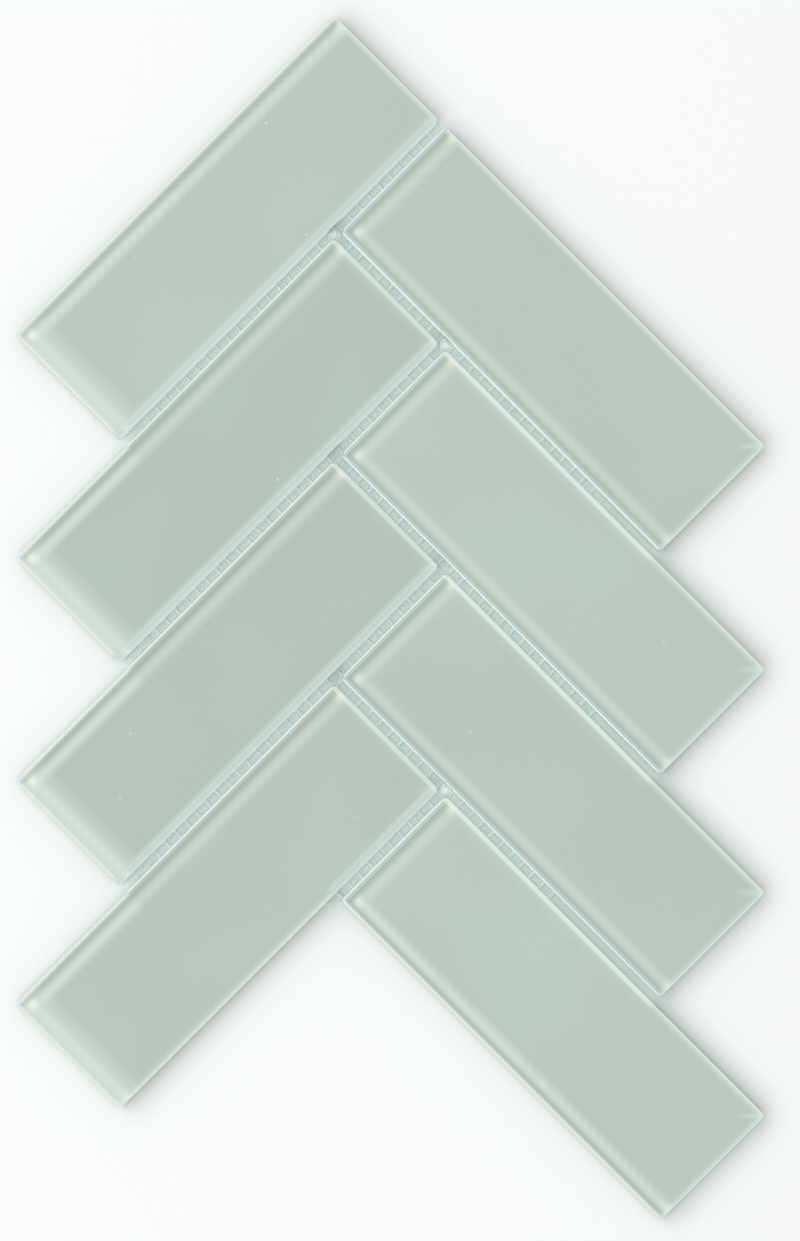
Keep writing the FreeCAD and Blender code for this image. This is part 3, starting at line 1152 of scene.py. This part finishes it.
# %% The adhesive's finish
# A painted warm white highlight, a little to the right of a dab's middle
DAB_HIGHLIGHT_SHIFT = Vector((1.2, -0.15, 0)) * MM
DAB_HIGHLIGHT_COLOUR = colour(255, 252, 240)
DAB_HIGHLIGHT_FADE = (0.7, 1.5)
PASTE_WARMTH = (1.05, 1.0, 0.96)
PASTE_SCALE = 420.0
PASTE_SPAN = (0.42, 0.62)
PASTE_ROUGHNESS = 0.35
PASTE_LIGHT = (0.09, 0.1, 0.1, 1.0)
PIT_SCALE = 900.0
PIT_DEPTH = 0.2 * MM
PIT_STRENGTH = 0.25
# Each dab: its own colour, and the strength of its painted highlight
DABS = {
    "adhesive_dab_1": (colour(232, 242, 241), 0.0),
    "adhesive_dab_2": (colour(238, 245, 244), 0.9),
    "adhesive_dab_3": (colour(236, 245, 246), 0.55),
}


def make_adhesive(name, node, shade, highlight):
    """One dab's finish: its shade, a little warmer in patches, and a painted highlight of that strength."""
    light = {"Emission_Color": PASTE_LIGHT, "Emission_Strength": 1.0}
    paint = Paint(name, Roughness=PASTE_ROUGHNESS, **light)
    place = paint.place()
    warmer = (*[min(1.0, part * share) for part, share in zip(shade, PASTE_WARMTH)], 1.0)
    base = paint.blend(paint.smooth(paint.cloud(place, PASTE_SCALE), *PASTE_SPAN), shade, warmer)
    highlight_middle = middle_of(node, (NORTH_EAST, NORTH_WEST, UP))[0] + DAB_HIGHLIGHT_SHIFT
    away = paint.add("ShaderNodeVectorMath", {"operation": "DISTANCE"}, [place, highlight_middle], output=1)
    base = paint.blend(paint.fade(away * (1 / MM), *DAB_HIGHLIGHT_FADE) * highlight, base, DAB_HIGHLIGHT_COLOUR)
    paint.set("Base Color", base)
    paint.bump(paint.cloud(place, PIT_SCALE), PIT_DEPTH, PIT_STRENGTH)
    return paint.material


for seed, (node, (shade, highlight)) in enumerate(DABS.items()):
    paste = make_adhesive(node + "_paste", node, shade, highlight)
    add_piece(node + "_blob", build_dab(node, seed), [paste], node)
print("Dabs:", len(DABS))

# %% [markdown]
# The photograph is a straight look down on the face, so the camera hangs far above the sheet with
# a long lens, which keeps the two columns parallel.

# %% Camera
LENS = 200.0
SENSOR = 36.0
FRAME_HEIGHT = 408.9 * MM
CLIP_END = 100.0
LOOK_AT = Vector((3.3 * MM, -0.8 * MM, cad_box[1].z))


def add_camera():
    """A camera straight above LOOK_AT, as high as FRAME_HEIGHT needs to fill the frame's long side."""
    data = bpy.data.cameras.new("camera")
    data.lens = LENS
    data.sensor_width = SENSOR
    data.clip_end = CLIP_END
    camera = bpy.data.objects.new("camera", data)
    bpy.context.scene.collection.objects.link(camera)
    camera.location = LOOK_AT + UP * (FRAME_HEIGHT * LENS / SENSOR)
    bpy.context.scene.camera = camera
    return camera


camera = add_camera()
print("Camera height in m:", round(camera.location.z, 3))

# %% [markdown]
# The sheet lies on a plain matt floor, so pale that it renders nearly white. The floor lies a hair
# below the lowest yarns, so that no yarn shares its plane, and it keeps the object's soft shadow.

# %% Floor
FLOOR_HALF = 4.0
FLOOR_DROP = 0.02 * MM
FLOOR_COLOUR = (0.92, 0.92, 0.92, 1.0)
FLOOR_ROUGHNESS = 0.9
FLOOR_SPECULAR = 0.1


def add_floor():
    """One large square, named as part of the studio and not of the object."""
    paint = Paint("studio_floor", Roughness=FLOOR_ROUGHNESS, Specular_IOR_Level=FLOOR_SPECULAR)
    paint.set("Base Color", FLOOR_COLOUR)
    data = bpy.data.meshes.new("studio_floor")
    corners = [(x * FLOOR_HALF, y * FLOOR_HALF, 0) for x, y in ((-1, -1), (1, -1), (1, 1), (-1, 1))]
    data.from_pydata(corners, [], [(0, 1, 2, 3)])
    data.materials.append(paint.material)
    floor = bpy.data.objects.new("studio_floor", data)
    floor.location.z = cad_box[0].z - FLOOR_DROP
    bpy.context.scene.collection.objects.link(floor)
    return floor


floor = add_floor()
print("Floor in m:", [round(side, 1) for side in floor.dimensions])

# %% [markdown]
# The photograph's light is soft and comes from the left. One very large lamp high on the left and a
# pale, slightly green sky give that. A small lamp would put hard shadows in the joints, and a low one
# would burn out the left sides of the tiles.

# %% Lights
SKY_COLOUR = (0.95, 0.985, 0.97, 1)
SKY_STRENGTH = 0.74
SOFTBOX_PLACE = Vector((-1.7, 0.0, 2.7))
SOFTBOX_AIM = Vector((0.0, 0.0, 0.0))
SOFTBOX_SIZE = (5.0, 2.5)
SOFTBOX_POWER = 55.5


def add_sky():
    """The same pale light from all round, so that no side of the object is black."""
    world = bpy.data.worlds.new("studio")
    world.use_nodes = True
    background = world.node_tree.nodes["Background"]
    background.inputs["Color"].default_value = SKY_COLOUR
    background.inputs["Strength"].default_value = SKY_STRENGTH
    bpy.context.scene.world = world


def add_softbox():
    """A rectangular lamp that looks at the sheet."""
    data = bpy.data.lights.new("softbox_left", "AREA")
    data.shape = "RECTANGLE"
    data.size, data.size_y = SOFTBOX_SIZE
    data.energy = SOFTBOX_POWER
    lamp = bpy.data.objects.new("softbox_left", data)
    bpy.context.scene.collection.objects.link(lamp)
    lamp.location = SOFTBOX_PLACE
    lamp.rotation_mode = "QUATERNION"
    lamp.rotation_quaternion = (SOFTBOX_AIM - SOFTBOX_PLACE).to_track_quat("-Z", "Y")
    return lamp


add_sky()
lamp = add_softbox()
print("Lamp's distance in m:", round(lamp.location.length, 2))

# %% [markdown]
# The Standard view shows each colour about as it was written.

# %% Colour handling
scene = bpy.context.scene
scene.view_settings.view_transform = "Standard"
